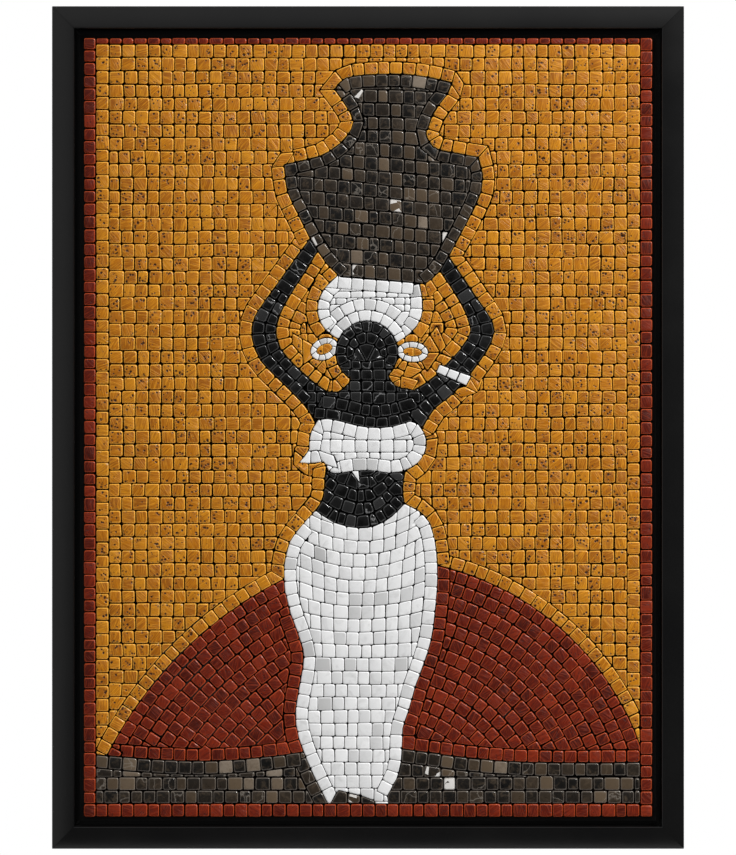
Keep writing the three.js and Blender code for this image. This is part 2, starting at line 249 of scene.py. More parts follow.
turned = {"bottom": 0, "left": 3, "top": 2, "right": 1}
for side, quarter in turned.items():
    along, across = FRAME_SIZE["x"], FRAME_SIZE["z"]
    if side in ("left", "right"):
        along, across = across, along
    corners, count = [], len(RAIL_SECTION)
    for end in (-1, 1):
        for u, v in RAIL_SECTION:
            reach = along / 2 - u - MITRE_GAP
            corners.append((end * reach, -v, u - across / 2))
    faces = [tuple(range(count)), tuple(range(2 * count - 1, count - 1, -1))]
    faces += [(i, i + count, (i + 1) % count + count, (i + 1) % count) for i in range(count)]
    turn = quarter * math.pi / 2
    corners = [
        (
            x * math.cos(turn) - z * math.sin(turn) + middle.x,
            y,
            x * math.sin(turn) + z * math.cos(turn) + middle.z,
        )
        for x, y, z in corners
    ]
    mesh = bpy.data.meshes.new(f"rail_{side}")
    mesh.from_pydata(corners, [], faces)
    mesh.materials.append(lacquer)
    for face in mesh.polygons:
        face.use_smooth = len(face.vertices) == 4
    mesh.set_sharp_from_angle(angle=math.radians(40))
    rail = bpy.data.objects.new(f"rail_{side}", mesh)
    scene.collection.objects.link(rail)
    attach(rail, "root")
    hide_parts(f"frame_rail_{side}")


# ---- Backing board ----
# A sheet of dense wood fibre, stained black, that carries the stones. It lies on the rails' ledge.
stain, tree, shader = blank_material("black_stained_board")
place = add(tree, "ShaderNodeTexCoord").outputs["Object"]
fibre = cloudy(tree, place, 1400.0, 4.0, Roughness=0.7)
blotch = cloudy(tree, place, 60.0, 3.0)
colour = mix_colour(tree, blotch, (0.022, 0.0215, 0.021, 1), (0.034, 0.033, 0.032, 1))
bump = add(tree, "ShaderNodeBump", Strength=0.3, Distance=0.0003, Height=fibre)
tree.links.new(colour, shader.inputs["Base Color"])
tree.links.new(bump.outputs["Normal"], shader.inputs["Normal"])
shader.inputs["Roughness"].default_value = 0.85
shader.inputs["Specular IOR Level"].default_value = 0.1
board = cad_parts["backing_board"]
board.data.materials.clear()
board.data.materials.append(stain)


# ---- Setting out the stones ----
# Each colour is set as a mosaic worker sets it: first the row that follows the outline, then the courses
# that fill it. A stone is nipped to what the rows before it leave free, and a splinter joins a neighbour
# if one can take it.
STONE = 10.4  # a stone with its joint, in millimetres, as everything in this section
JOINT = 0.86
DARK_JOINT = 1.0
AREA_GAP = 0.8  # joint between two colours
NIP, SMALL_NIP = 0.75, 0.35  # how much of each corner the hammer takes off
FLAT_CORNER = 28.0  # degrees of bend below which a corner is left whole
SHARPEST = 0.45  # keeps a pointed corner from running far out when a loop is moved
SPLINTER = 17.0  # smaller offcuts, in square millimetres, join a neighbour if one can take them
THIN = 1.25  # and so do those thinner than this on average
LARGEST = 165.0  # a stone with the offcuts it takes in, in square millimetres
CRUMB = 5.0  # an offcut that fits no neighbour is left out below this
HOLLOW = 3.0  # how much hollow, less part of the side they share, a stone may gain by taking one in
SHARED = 0.8  # the least side that an offcut shares with the stone that takes it in
CORNER = 38.0  # degrees of turn that end a row
BLUNT, SPIKE = 72.0, 110.0  # a corner is mitred below the first, and is a point above the second
POINT_SHARE = 0.4  # how much of its usual reach a row runs on at such a point
OVERLAP = 1.5  # how far a row starts outside its outline
picture_middle = middle.z
rng = random.Random(4)


def signed_area(loop):
    return sum(a[0] * b[1] - b[0] * a[1] for a, b in zip(loop, loop[1:] + loop[:1])) / 2


def chained(edges):
    """Closed loops from directed edges, taking the sharpest left turn where several leave one point."""
    leaving = {}
    for a, b in edges:
        leaving.setdefault(a, []).append(b)
    loops = []
    while leaving:
        start = next(iter(leaving))
        loop, here, came = [start], start, None
        while here in leaving:
            options = leaving[here]
            if len(options) > 1 and came is not None:
                back = math.atan2(came[1] - here[1], came[0] - here[0])
                options.sort(key=lambda p: (math.atan2(p[1] - here[1], p[0] - here[0]) - back) % math.tau)
            step = options.pop(0)
            if not options:
                del leaving[here]
            came, here = here, step
            if here == start:
                break
            loop.append(here)
        loops.append(loop)
    return loops


def area_outlines(node):
    """The closed outlines of a colour's solid on the board, with the stone on their left."""
    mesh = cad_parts[node].data
    back = max(v.co.y for v in mesh.vertices)
    edges = {}
    for face in mesh.polygons:
        corners = [mesh.vertices[i].co for i in face.vertices]
        if min(c.y for c in corners) < back - 1e-5:
            continue
        flat = [(round(c.x * 1000, 2), round((c.z - picture_middle) * 1000, 2)) for c in corners]
        for b, a in zip(flat, flat[1:] + flat[:1]):
            if a == b:
                continue
            if (b, a) in edges:
                del edges[(b, a)]
            else:
                edges[(a, b)] = True
    return [tidy_loop(loop, 0.05, 0.02) for loop in chained(edges)]


def tidy_loop(loop, shortest, straight):
    """Leaves out points that are too close to the last one or lie on the line between their neighbours."""
    kept = [Vector(p) for p in loop]
    changed = True
    while changed and len(kept) > 3:
        changed = False
        for i in range(len(kept)):
            a, b, c = kept[i - 1], kept[i], kept[(i + 1) % len(kept)]
            span = (c - a).length
            off = abs((b - a).x * (c - a).y - (b - a).y * (c - a).x) / span if span > 1e-6 else 0.0
            if (b - a).length < shortest or off < straight:
                kept.pop(i)
                changed = True
                break
    return kept


def moved_out(loop, distance):
    """Moves a loop to its right by a distance, which lets the stone on its left grow."""
    moved = []
    for i, point in enumerate(loop):
        before = (point - loop[i - 1]).normalized()
        after = (loop[(i + 1) % len(loop)] - point).normalized()
        along = (before + after).normalized() if (before + after).length > 1e-4 else before
        stretch = max(along.dot(after), SHARPEST)
        moved.append(point + Vector((along.y, -along.x)) * distance / stretch)
    return moved


class Guide:
    """A line that a row of stones follows. Beyond its ends it runs straight on."""

    def __init__(self, points):
        self.points = [Vector(p) for p in points]
        self.reach = [0.0]
        for a, b in zip(self.points, self.points[1:]):
            self.reach.append(self.reach[-1] + (b - a).length)
        self.length = self.reach[-1]

    def at(self, s):
        last = len(self.points) - 2
        i = 0
        while i < last and self.reach[i + 1] < s:
            i += 1
        a, b = self.points[i], self.points[i + 1]
        return a + (b - a) * ((s - self.reach[i]) / max(self.reach[i + 1] - self.reach[i], 1e-6))

    def left(self, s, ease=2.5):
        along = (self.at(min(s + ease, self.length)) - self.at(max(s - ease, 0.0))).normalized()
        return Vector((-along.y, along.x))


def cuts(length, width, wander, lead=0.0, tail=0.0):
    """Where a row is cut into stones, near evenly."""
    whole = length + lead + tail
    count = max(1, round(whole / width))
    return [
        -lead + whole * (i + (rng.uniform(-wander, wander) if 0 < i < count else 0.0)) / count
        for i in range(count + 1)
    ]


def row_along(guide, depth, width=STONE, wander=0.08, lead=0.0, tail=0.0, setback=0.0, mitres=(None, None)):
    """One row of stones on the left of a guide, between setback and setback + depth from it. A mitre is the
    direction of the row's first or last cut."""
    near = setback - (OVERLAP if setback == 0.0 else 0.0)
    marks = cuts(guide.length, width, wander, lead, tail)
    sides = [guide.left(s) for s in marks]
    for i, mitre in ((0, mitres[0]), (-1, mitres[1])):
        if mitre is not None:
            sides[i] = mitre / max(mitre.dot(guide.left(marks[i], 0.3)), 0.5)
    row = []
    for i, (s, t) in enumerate(zip(marks, marks[1:])):
        a, b, na, nb = guide.at(s), guide.at(t), sides[i], sides[i + 1]
        row.append([a + na * near, b + nb * near, b + nb * (setback + depth), a + na * (setback + depth)])
    return row


def course_between(lower, upper, width=STONE, wander=0.1, start=0.0):
    """One course between two guides that run the same way, cut in proportion along both."""
    marks = cuts(lower.length - start, width, wander)
    scale = upper.length / lower.length
    course = []
    for s, t in zip(marks, marks[1:]):
        s, t = s + start, t + start
        lean_s, lean_t = rng.uniform(-0.35, 0.35), rng.uniform(-0.35, 0.35)
        course.append([lower.at(s), lower.at(t), upper.at(t * scale + lean_t), upper.at(s * scale + lean_s)])
    return course


def edge_guides(loops, wanted, corner=CORNER, reach=9.0):
    """Splits outlines at their corners. Keeps the runs that are wanted, each with how far its last stone runs
    on past an outer corner, and the mitres at its ends where the corner is blunt."""
    runs = []
    for loop in loops:
        count = len(loop)
        turns = []
        for i in range(count):
            before = loop[i] - loop[i - 1]
            after = loop[(i + 1) % count] - loop[i]
            turns.append(math.degrees(math.atan2(before.x * after.y - before.y * after.x, before.dot(after))))
        keep = [wanted((loop[i] + loop[(i + 1) % count]) / 2) for i in range(count)]
        breaks = [i for i in range(count) if abs(turns[i]) > corner or keep[i] != keep[i - 1]]
        if not breaks:
            if keep[0]:
                runs.append((Guide(loop + [loop[0]]), 0.0, 0.0, (None, None)))
            continue

        def mitre(i):
            if not corner < abs(turns[i]) < BLUNT or not (keep[i] and keep[i - 1]):
                return None
            back, ahead = (loop[i] - loop[i - 1]).normalized(), (loop[(i + 1) % count] - loop[i]).normalized()
            return Vector((-(back + ahead).y, (back + ahead).x)).normalized()

        for first, last in zip(breaks, breaks[1:] + [breaks[0] + count]):
            if not keep[first]:
                continue
            points = [loop[k % count] for k in range(first, last + 1)]
            last %= count
            lead = reach * POINT_SHARE if turns[first] < -SPIKE else 0.0
            tail = 0.0 if turns[last] > -BLUNT else reach * (POINT_SHARE if turns[last] < -SPIKE else 1.0)
            runs.append((Guide(points), lead, tail, (mitre(first), mitre(last))))
    return runs


def edge_rows(loops, depth, wanted=lambda p: True, width=STONE, wander=0.08, corner=CORNER):
    rows = []
    for guide, lead, tail, mitres in edge_guides(loops, wanted, corner):
        rows += row_along(guide, depth, width, wander, lead, tail, mitres=mitres)
    return rows


def hull(loop):
    """The tightest outline without hollows round some points, anticlockwise."""
    ordered = sorted({(round(p[0], 4), round(p[1], 4)) for p in loop})
    halves = []
    for run in (ordered, ordered[::-1]):
        half = []
        for p in run:
            while len(half) > 1 and (half[-1][0] - half[-2][0]) * (p[1] - half[-2][1]) <= (
                half[-1][1] - half[-2][1]
            ) * (p[0] - half[-2][0]):
                half.pop()
            half.append(p)
        halves += half[:-1]
    return halves


def nipped(loops, quads, splinter=SPLINTER):
    """Cuts the stones to the outlines and to the stones set before them. Returns their closed outlines."""
    points, faces = [], []
    for shape in [moved_out(loop, AREA_GAP / 2) for loop in loops] + [hull(quad) for quad in quads]:
        if signed_area(shape) < 0.0:
            shape = shape[::-1]
        if len(shape) > 2:
            faces.append(list(range(len(points), len(points) + len(shape))))
            points += [Vector(p) for p in shape]
    drawn = [abs(signed_area([points[i] for i in face])) for face in faces]
    for closeness in (1e-5, 1e-6, 1e-4):
        verts, _, triangles, _, _, owners = delaunay_2d_cdt(points, [], faces, 1, closeness, True)
        found = [0.0] * len(faces)
        for (a, b, c), inside in zip(triangles, owners):
            for f in inside:
                found[f] += abs((verts[b] - verts[a]).cross(verts[c] - verts[a])) / 2
        if all(area < 1.5 * whole + 1.0 for area, whole in zip(found, drawn)):
            break
    outer = len(loops)
    stone_of, sides = {}, {}
    for t, (triangle, inside) in enumerate(zip(triangles, owners)):
        if sum(1 for f in inside if f < outer) % 2 == 0:
            continue
        stone_of[t] = min((f for f in inside if f >= outer), default=-1)
        for a, b in zip(triangle, triangle[1:] + triangle[:1]):
            sides.setdefault((min(a, b), max(a, b)), []).append(t)

    def size(t):
        a, b, c = (verts[i] for i in triangles[t])
        return abs((b - a).cross(c - a)) / 2

    near = {t: [] for t in stone_of}
    for edge, pair in sides.items():
        if len(pair) == 2:
            near[pair[0]].append((pair[1], edge))
            near[pair[1]].append((pair[0], edge))
    group_of, groups = {}, {}
    for t in stone_of:
        if t in group_of:
            continue
        group, stack = len(groups), [t]
        groups[group] = []
        group_of[t] = group
        while stack:
            here = stack.pop()
            groups[group].append(here)
            for there, _ in near[here]:
                if there not in group_of and stone_of[there] == stone_of[here]:
                    group_of[there] = group
                    stack.append(there)

    def outline(members):
        inside = set(members)
        edges = []
        for t in members:
            triangle = triangles[t]
            for a, b in zip(triangle, list(triangle[1:]) + [triangle[0]]):
                pair = sides[(min(a, b), max(a, b))]
                if not any(other in inside for other in pair if other != t):
                    edges.append((tuple(verts[a]), tuple(verts[b])))
        return max(chained(edges), key=signed_area)

    areas = {g: sum(size(t) for t in members) for g, members in groups.items()}
    waiting = sorted(areas, key=areas.get)
    for g in waiting:
        members = groups[g]
        shape = outline(members)
        around = sum((Vector(a) - Vector(b)).length for a, b in zip(shape, shape[1:] + shape[:1]))
        if areas[g] > splinter and areas[g] / around * 2 > THIN:
            continue
        beside = {}
        for t in members:
            for there, edge in near[t]:
                other = group_of[there]
                if other != g:
                    beside[other] = beside.get(other, 0.0) + (verts[edge[0]] - verts[edge[1]]).length
        best, least = None, None
        for other, shared in beside.items():
            if shared < SHARED or not groups[other] or areas[g] + areas[other] > LARGEST:
                continue
            joined = outline(members + groups[other])
            waste = signed_area(hull(joined)) - areas[g] - areas[other] - 0.6 * shared
            if least is None or waste < least:
                best, least = other, waste
        if best is None or least > HOLLOW:
            if areas[g] < CRUMB:
                groups[g] = []
            continue
        for t in members:
            group_of[t] = best
        groups[best] = groups[best] + members
        areas[best] += areas[g]
        groups[g] = []
    return [outline(members) for members in groups.values() if members]


def dressed(outline, small=False, joint=JOINT):
    """A stone's front outline: straight sides, a joint's width off its neighbours, its corners nipped."""
    loop = tidy_loop(outline, 0.4, 0.12 if small else 0.32)
    loop = moved_out(loop, -joint / 2 * rng.uniform(0.55, 1.45))
    loop = tidy_loop(loop, 0.5, 0.03)
    if len(loop) < 3 or signed_area(loop) < 4.0:
        return None
    corners = []
    for i, point in enumerate(loop):
        before, after = loop[i - 1] - point, loop[(i + 1) % len(loop)] - point
        bend = 180.0 - math.degrees(before.angle(after))
        if bend < FLAT_CORNER:
            corners.append(point + Vector((rng.uniform(-0.1, 0.1), rng.uniform(-0.1, 0.1))))
            continue
        nip = (SMALL_NIP if small else NIP) * rng.uniform(0.55, 1.5)
        for side in (before, after):
            corners.append(point + side.normalized() * min(nip, side.length * 0.3))
    return corners


# ---- Cutting the stones ----
# Every stone starts as its flat outline on the board. It is raised to its own height, its arris is worn
# round by tumbling, its face is left very slightly crowned, and it sits a touch askew in its glue.
STONE_THICKNESS = 0.009
ARRIS = 0.0008
FRONT_FROM = -0.004  # points further forward than this belong to the front of a stone

cutter = bpy.data.node_groups.new("cut_stones", "GeometryNodeTree")
cutter.interface.new_socket("Geometry", in_out="INPUT", socket_type="NodeSocketGeometry")
CUTTER_INPUTS = {
    "Thickness": ("NodeSocketFloat", STONE_THICKNESS),
    "Arris": ("NodeSocketFloat", ARRIS),
    "Crown": ("NodeSocketFloat", 0.00005),
    "Height Spread": ("NodeSocketFloat", 0.00028),
    "Tilt": ("NodeSocketFloat", 0.022),
    "Seed": ("NodeSocketInt", 7),
    "Material": ("NodeSocketMaterial", None),
}
for name, (kind, value) in CUTTER_INPUTS.items():
    made = cutter.interface.new_socket(name, in_out="INPUT", socket_type=kind)
    if value is not None:
        made.default_value = value
cutter.interface.new_socket("Geometry", in_out="OUTPUT", socket_type="NodeSocketGeometry")
given = cutter.nodes.new("NodeGroupInput").outputs


def carried(name, kind):
    """What a stone's outline carries under a name."""
    return add(cutter, "GeometryNodeInputNamedAttribute", {"data_type": kind}, Name=name).outputs["Attribute"]


stone_id, across, home = carried("stone", "INT"), carried("across", "FLOAT"), carried("home", "FLOAT_VECTOR")


def spread(low_value, high_value, salt):
    """A random number of each stone's own."""
    seed = maths(cutter, "ADD", given["Seed"], float(salt))
    ends = {"Min": low_value, "Max": high_value, "ID": stone_id, "Seed": seed}
    node = add(cutter, "FunctionNodeRandomValue", {"data_type": "FLOAT"}, **ends)
    return next(s for s in node.outputs if s.enabled)


def with_rim(geometry, value):
    store = {"data_type": "FLOAT", "domain": "POINT"}
    marked = add(cutter, "GeometryNodeStoreNamedAttribute", store, Geometry=geometry, Name="rim", Value=value)
    return marked.outputs["Geometry"]


def raised(geometry, selection, rise, inset):
    """Raises the chosen faces and draws them in by an inset, in metres."""
    faces = {"mode": "FACES"}
    lift = add(cutter, "GeometryNodeExtrudeMesh", faces, Mesh=geometry, Offset_Scale=rise, Individual=True)
    if selection is not None:
        cutter.links.new(selection, lift.inputs["Selection"])
    if inset is None:
        return lift.outputs["Mesh"], lift.outputs["Top"]
    shrink = maths(cutter, "SUBTRACT", 1.0, maths(cutter, "DIVIDE", times(cutter, inset, 2.0), across))
    draw = add(cutter, "GeometryNodeScaleElements", {"domain": "FACE"}, Geometry=lift.outputs["Mesh"])
    cutter.links.new(lift.outputs["Top"], draw.inputs["Selection"])
    cutter.links.new(shrink, draw.inputs["Scale"])
    return draw.outputs["Geometry"], lift.outputs["Top"]


low_spread = times(cutter, given["Height Spread"], -1.0)
height = maths(cutter, "ADD", given["Thickness"], spread(low_spread, 0.0, 1))
wall = maths(cutter, "SUBTRACT", height, given["Arris"])
body, top = raised(given["Geometry"], None, wall, None)
body, top = raised(body, top, times(cutter, given["Arris"], 0.62), times(cutter, given["Arris"], 0.26))
body, top = raised(body, top, times(cutter, given["Arris"], 0.38), times(cutter, given["Arris"], 0.62))
body, top = raised(body, top, given["Crown"], times(cutter, given["Arris"], 0.35))

# How far a point is from the face: 0 on the crown, 1 on the arris, 2 at the foot in the glue.
spot = add(cutter, "GeometryNodeInputPosition").outputs["Position"]
arm = vectors(cutter, "SUBTRACT", spot, home)
proud = add(cutter, "ShaderNodeSeparateXYZ", Vector=arm).outputs["Y"]
in_front = maths(cutter, "LESS_THAN", proud, FRONT_FROM)
away = maths(cutter, "SUBTRACT", maths(cutter, "SUBTRACT", 2.0, in_front), top)

lean_x = times(cutter, spread(-1.0, 1.0, 2), given["Tilt"])
lean_z = times(cutter, spread(-1.0, 1.0, 3), given["Tilt"])
lean = add(cutter, "ShaderNodeCombineXYZ", X=lean_x, Z=lean_z).outputs["Vector"]
tip = vectors(cutter, "DOT_PRODUCT", arm, lean)
shift = add(cutter, "ShaderNodeCombineXYZ", Y=times(cutter, tip, in_front)).outputs["Vector"]
askew = add(cutter, "GeometryNodeSetPosition", Geometry=with_rim(body, away), Offset=shift)

underside = add(cutter, "GeometryNodeFlipFaces", Mesh=given["Geometry"]).outputs["Mesh"]
whole = cutter.nodes.new("GeometryNodeJoinGeometry")
cutter.links.new(with_rim(underside, 2.0), whole.inputs["Geometry"])
cutter.links.new(askew.outputs["Geometry"], whole.inputs["Geometry"])
closed = add(cutter, "GeometryNodeMergeByDistance", Geometry=whole.outputs["Geometry"], Distance=0.000002)
smooth = add(cutter, "GeometryNodeSetShadeSmooth", Geometry=closed.outputs["Geometry"])
real = add(cutter, "GeometryNodeRealizeInstances", Geometry=smooth.outputs["Geometry"])
painted = add(cutter, "GeometryNodeSetMaterial", Geometry=real.outputs[0], Material=given["Material"])
cutter.links.new(painted.outputs["Geometry"], cutter.nodes.new("NodeGroupOutput").inputs["Geometry"])

stones_set = 0


def set_stones(
    node, slot, material, quads, name=None, small=False, joint=JOINT, splinter=SPLINTER, arris=ARRIS
):
    """Cuts one colour's stones to their outline and sets them on the board as one piece."""
    global stones_set
    name = name or f"{node}_stones"
    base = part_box(node)[1][1]
    corners, faces, homes, widths, ids, tones = [], [], [], [], [], []
    for outline in nipped(area_outlines(node), quads, splinter):
        stone = dressed(outline, small, joint)
        if stone is None:
            continue
        centre = sum(stone, Vector((0.0, 0.0))) / len(stone)
        faces.append(tuple(range(len(corners), len(corners) + len(stone))))
        corners += [(p.x / 1000, base, p.y / 1000 + picture_middle) for p in stone]
        homes += [(centre.x / 1000, base, centre.y / 1000 + picture_middle)] * len(stone)
        widths.append(math.sqrt(signed_area(stone)) / 1000)
        ids.append(stones_set)
        tones.append((rng.random(), rng.random(), rng.random()))
        stones_set += 1
    mesh = bpy.data.meshes.new(name)
    mesh.from_pydata(corners, [], faces)
    for label, kind, domain, field, values in (
        ("home", "FLOAT_VECTOR", "POINT", "vector", [v for place in homes for v in place]),
        ("across", "FLOAT", "FACE", "value", widths),
        ("stone", "INT", "FACE", "value", ids),
        ("chance", "FLOAT_VECTOR", "FACE", "vector", [v for tone in tones for v in tone]),
    ):
        mesh.attributes.new(label, kind, domain).data.foreach_set(field, values)
    piece = bpy.data.objects.new(name, mesh)
    scene.collection.objects.link(piece)
    modifier = piece.modifiers.new("cut", "NODES")
    modifier.node_group = cutter
    settings = {"Material": material, "Arris": arris}
    for item in cutter.interface.items_tree:
        if item.in_out == "INPUT" and item.name in settings:
            modifier[item.identifier] = settings[item.name]
    depsgraph = bpy.context.evaluated_depsgraph_get()
    made = bpy.data.meshes.new_from_object(piece.evaluated_get(depsgraph), depsgraph=depsgraph)
    piece.modifiers.remove(modifier)
    piece.data = made
    made.name = name
    for spare in ("home", "across", "stone"):
        if spare in made.attributes:
            made.attributes.remove(made.attributes[spare])
    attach(piece, "root")
    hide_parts(node)


# ---- What all the stone has in common ----
# Each stone comes from its own place in the block, so no figure runs on into the next stone. Each
# effect puts out a mask, and all but the painted shade in the joints take a place in the block.
def block_place(tree):
    """The stone's own random numbers, and its own turned place in the block."""
    chance = add(tree, "ShaderNodeAttribute", {"attribute_name": "chance"}).outputs["Vector"]
    each = add(tree, "ShaderNodeSeparateXYZ", Vector=chance)
    where = add(tree, "ShaderNodeTexCoord").outputs["Object"]
    moved = vectors(tree, "ADD", where, vectors(tree, "MULTIPLY", chance, (3.1, 5.3, 4.7)))
    angle = times(tree, each.outputs["Z"], 6.2832)
    turned_place = add(tree, "ShaderNodeVectorRotate", {"rotation_type": "Y_AXIS"}, Vector=moved, Angle=angle)
    return each.outputs, turned_place.outputs["Vector"]


def effect_group(name, **inputs):
    """An empty shader group that puts out a mask. An input given as None is a place, the others numbers."""
    group = bpy.data.node_groups.new(name, "ShaderNodeTree")
    for socket, value in inputs.items():
        kind = "NodeSocketVector" if value is None else "NodeSocketFloat"
        made = group.interface.new_socket(socket, in_out="INPUT", socket_type=kind)
        if value is not None:
            made.default_value = value
    group.interface.new_socket("Mask", in_out="OUTPUT", socket_type="NodeSocketFloat")
    return group, group.nodes.new("NodeGroupInput").outputs, group.nodes.new("NodeGroupOutput").inputs["Mask"]


# Paler rim round every stone's arris: partly real wear from tumbling, partly a painted highlight standing in for
# light caught on the rims.
wear_and_highlight, g_in, g_out = effect_group("arris_wear_and_highlight", Vector=None, Width=0.6, Break=0.5)
edge = add(wear_and_highlight, "ShaderNodeAttribute", {"attribute_name": "rim"}).outputs["Fac"]
rough_edge = cloudy(wear_and_highlight, g_in["Vector"], 420.0, 3.0, Roughness=0.65)
broken = times(wear_and_highlight, maths(wear_and_highlight, "SUBTRACT", rough_edge, 0.5), g_in["Break"])
inner = maths(wear_and_highlight, "SUBTRACT", 1.0, g_in["Width"])
wear_and_highlight.links.new(ranged(wear_and_highlight, maths(wear_and_highlight, "ADD", edge, broken), inner, 1.0, **SMOOTH), g_out)

FOOT = 1.04  # how far from the face the painted shade in the joints begins, as the rim counts it
# Painted shade: the stones' sides down in the joints are darkened towards near black, where shade falls between
# them.
sunk, g_in, g_out = effect_group("painted_shade_in_joints", Depth=0.25)
deep = add(sunk, "ShaderNodeAttribute", {"attribute_name": "rim"}).outputs["Fac"]
sunk.links.new(ranged(sunk, deep, FOOT, maths(sunk, "ADD", FOOT, g_in["Depth"]), **SMOOTH), g_out)

pitted, g_in, g_out = effect_group("pits", Vector=None, Scale=300.0, Amount=0.5)
warp = add(pitted, "ShaderNodeTexNoise", Vector=g_in["Vector"], Scale=260.0, Detail=3.0).outputs["Color"]
pull = vectors(pitted, "MULTIPLY_ADD", warp, (0.0018,) * 3, in2=g_in["Vector"])
cells = add(pitted, "ShaderNodeTexVoronoi", {"feature": "F1"}, Vector=pull, Scale=g_in["Scale"])
patch = cloudy(pitted, g_in["Vector"], 95.0, 2.0)
reach = times(pitted, ranged(pitted, patch, 0.39, 0.6), g_in["Amount"])
hole = ranged(pitted, cells.outputs["Distance"], reach, times(pitted, reach, 0.45), **SMOOTH)
pitted.links.new(hole, g_out)

sawn, g_in, g_out = effect_group("saw_marks", Vector=None, Pitch=900.0)
stretched = vectors(sawn, "MULTIPLY", g_in["Vector"], (1.0, 0.3, 0.07))
lines = cloudy(sawn, stretched, g_in["Pitch"], 2.0, Roughness=0.5)
sawn.links.new(ranged(sawn, lines, 0.49, 0.66), g_out)


def effect(tree, group, **values):
    node = tree.nodes.new("ShaderNodeGroup")
    node.node_tree = group
    for key, value in values.items():
        if isinstance(value, bpy.types.NodeSocket):
            tree.links.new(value, node.inputs[key])
        else:
            node.inputs[key].default_value = value
    return node.outputs["Mask"]


def ramp(tree, amount, stops):
    node = tree.nodes.new("ShaderNodeValToRGB")
    elements = node.color_ramp.elements
    while len(elements) > 1:
        elements.remove(elements[-1])
    elements[0].position, elements[0].color = stops[0][0], (*stops[0][1], 1.0)
    for position, colour in stops[1:]:
        elements.new(position).color = (*colour, 1.0)
    tree.links.new(amount, node.inputs["Fac"])
    return node.outputs["Color"]


def burnished(tree, figure, smooth_end, rough_end, edge):
    """Roughness that follows the stone's figure and drops where the arris is rubbed."""
    face = ranged(tree, figure, 0.3, 0.7, smooth_end, rough_end)
    return times(tree, face, maths(tree, "SUBTRACT", 1.0, times(tree, edge, 0.4)))


def tinted(tree, base, mask, share, colour):
    return mix_colour(tree, times(tree, mask, share), base, colour)


def finished(tree, shader, colour, rough, relief, gloss, joint_shade=(0.003, 0.0026, 0.0022, 1)):
    """Feeds the shader: its colour with painted shade darkening the stones' sides in the joints, its roughness,
    and its relief, as masks with their heights in millimetres."""
    tree.links.new(mix_colour(tree, effect(tree, sunk), colour, joint_shade), shader.inputs["Base Color"])
    tree.links.new(rough, shader.inputs["Roughness"])
    total, *others = [times(tree, mask, height) for mask, height in relief]
    for extra in others:
        total = maths(tree, "ADD", total, extra)
    bump = add(tree, "ShaderNodeBump", Strength=0.5, Distance=0.001, Height=total)
    tree.links.new(bump.outputs["Normal"], shader.inputs["Normal"])
    shader.inputs["Specular IOR Level"].default_value = gloss


def threads(tree, chance, block, warp_scale, pull, spacing, width, strength):
    """Thin pale threads through about a quarter of the stones."""
    warp = add(tree, "ShaderNodeTexNoise", Vector=block, Scale=warp_scale, Detail=4.0).outputs["Color"]
    bent = vectors(tree, "MULTIPLY_ADD", warp, (pull,) * 3, in2=block)
    vein = add(tree, "ShaderNodeTexVoronoi", {"feature": "DISTANCE_TO_EDGE"}, Vector=bent, Scale=spacing)
    thread = ranged(tree, vein.outputs["Distance"], width, 0.0, 0.0, strength)
    return times(tree, thread, maths(tree, "GREATER_THAN", chance["Y"], 0.72))


# ---- Red border ----
# One row of brick-red limestone right round the picture, square stones with a thinner row along the top.
red_stone, tree, shader = blank_material("red_limestone")
chance, block = block_place(tree)
base = ramp(tree, chance["X"], [
    (0.0, (0.050, 0.0040, 0.0010)), (0.3, (0.090, 0.0060, 0.0010)), (0.7, (0.134, 0.0096, 0.0015)),
    (1.0, (0.215, 0.021, 0.0050)),
])
mottle = cloudy(tree, block, 240.0, 5.0, Roughness=0.65)
base = mix_colour(tree, ranged(tree, mottle, 0.35, 0.75, 0.0, 0.7), base, (0.052, 0.0055, 0.0022, 1))
speck = effect(tree, pitted, Vector=block, Scale=520.0, Amount=0.34)
base = mix_colour(tree, speck, base, (0.012, 0.004, 0.003, 1))
dull = effect(tree, sawn, Vector=block, Pitch=1100.0)
base = tinted(tree, base, dull, 0.45, (0.045, 0.0035, 0.0011, 1))
marks = effect(tree, sawn, Vector=block, Pitch=1700.0)
base = tinted(tree, base, marks, 0.42, (0.30, 0.036, 0.009, 1))
edge = effect(tree, wear_and_highlight, Vector=block, Width=0.4, Break=1.1)
# Paler red rims on the arris: partly wear, partly a painted highlight.
base = tinted(tree, base, edge, 0.66, (0.44, 0.070, 0.020, 1))
rough = burnished(tree, mottle, 0.34, 0.5, edge)
finished(tree, shader, base, rough, [(mottle, 0.3), (speck, -0.3), (marks, 0.16)], 0.2)

HALF_X, HALF_Z = 230.0, 315.0
BORDER_STONE = 10.3
border_guides = {
    "border_column_left": Guide([(-HALF_X, HALF_Z), (-HALF_X, -HALF_Z)]),
    "border_column_right": Guide([(HALF_X, -HALF_Z), (HALF_X, HALF_Z)]),
    "border_row_top": Guide([(HALF_X, HALF_Z), (-HALF_X, HALF_Z)]),
    "border_row_bottom": Guide([(-HALF_X, -HALF_Z), (HALF_X, -HALF_Z)]),
}
for node, guide in border_guides.items():
    set_stones(node, "red_stone", red_stone, row_along(guide, 13.0, BORDER_STONE, 0.1), joint=DARK_JOINT)


